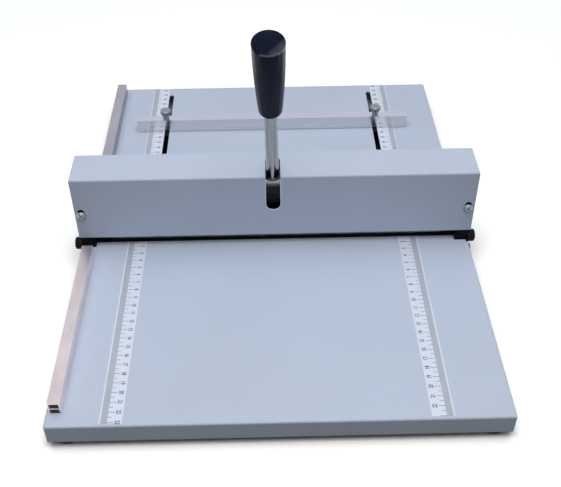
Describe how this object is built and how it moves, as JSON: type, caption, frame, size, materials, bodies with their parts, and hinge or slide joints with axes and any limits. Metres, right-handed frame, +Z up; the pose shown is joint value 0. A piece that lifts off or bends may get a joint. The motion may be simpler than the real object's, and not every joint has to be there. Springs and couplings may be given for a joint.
{
  "type": "desktop paper creasing machine",
  "caption": "Desktop paper creasing machine: front and rear tables with scales, screwed-on cover over a cam-driven creasing beam, long lever with black grip, and a sliding back gauge.",
  "frame": {"origin": "middle of the footprint, on the surface that the feet stand on", "axes": "+X along the crease to the right as the user stands in front, +Y to the rear table, +Z up"},
  "size_m": [0.3864, 0.5066, 0.2662],
  "materials": {
    "table_paint": "light blue-grey powder coat, satin",
    "black_paint": "black paint, satin",
    "black_steel": "black oxide",
    "dark_steel": "blackened steel",
    "ground_steel": "ground",
    "plated_steel": "zinc plated",
    "rod_chrome": "polished",
    "grip_plastic": "black, glossy",
    "bronze": "turned",
    "scale_print": "printed strip, satin",
    "mill_aluminium": "mill finish",
    "bright_aluminium": "brushed bright",
    "foot_rubber": "matt"
  },
  "bodies": {
    "base": {"front_table": "table_paint", "rear_table": "table_paint", "die_bar": "black_paint", "crease_plate": "ground_steel", "crease_plate_screws": "plated_steel", "side_plate_left": "black_paint", "side_plate_right": "black_paint", "guide_block_left": "black_paint", "guide_block_right": "black_paint", "frame_bolts": "black_steel", "frame_washers": "black_steel", "table_bolts": "black_steel", "cover": "table_paint", "cover_screws": "plated_steel", "shaft_bushes": "bronze", "spring_pins": "ground_steel", "return_springs": "plated_steel", "front_scale_left": "scale_print", "front_scale_right": "scale_print", "rear_scale_left": "scale_print", "rear_scale_right": "scale_print", "front_fence": "mill_aluminium", "rear_fence": "mill_aluminium", "fence_screws": "plated_steel", "rubber_feet": "foot_rubber", "foot_screws": "plated_steel", "foot_nuts": "plated_steel"},
    "lever": {"main_shaft": "ground_steel", "cam_left": "dark_steel", "cam_right": "dark_steel", "cam_set_screws": "black_steel", "shaft_sleeves": "ground_steel", "lever_hub": "dark_steel", "lever_rod": "rod_chrome", "lever_grip": "grip_plastic", "grip_cap": "grip_plastic"},
    "press": {"press_beam": "dark_steel", "crease_blade": "ground_steel", "blade_clamp": "dark_steel", "blade_screws": "black_steel", "wear_pads": "ground_steel"},
    "gauge": {"back_gauge": "bright_aluminium", "clamp_nuts": "bronze"},
    "thumb_left": {"thumb_screw_left": "plated_steel"},
    "thumb_right": {"thumb_screw_right": "plated_steel"}
  },
  "joints": [
    {"name": "lever_turn", "type": "hinge", "parent": "base", "child": "lever", "pos_m": [0, -0.01785, 0.082], "axis": [1, 0, 0], "range_deg": [-30, 75]},
    {"name": "press_slide", "type": "slide", "parent": "base", "child": "press", "axis": [0, 0, -1], "range_m": [-0.0021, 0.00525], "stiffness_N_per_m": 8000, "springref_m": -0.0015, "deforming": ["return_springs"]},
    {"name": "gauge_slide", "type": "slide", "parent": "base", "child": "gauge", "axis": [0, 1, 0], "range_m": [-0.116, 0.056]},
    {"name": "thumb_left_turn", "type": "hinge", "parent": "gauge", "child": "thumb_left", "pos_m": [-0.1198, 0.16345, 0.042], "axis": [0, 0, 1], "range_deg": [0, 360]},
    {"name": "thumb_right_turn", "type": "hinge", "parent": "gauge", "child": "thumb_right", "pos_m": [0.1169, 0.16345, 0.042], "axis": [0, 0, 1], "range_deg": [0, 360]}
  ],
  "couplings": [
    {"joint": "press_slide", "follows": "lever_turn", "m_per_rad": 0.004}
  ]
}
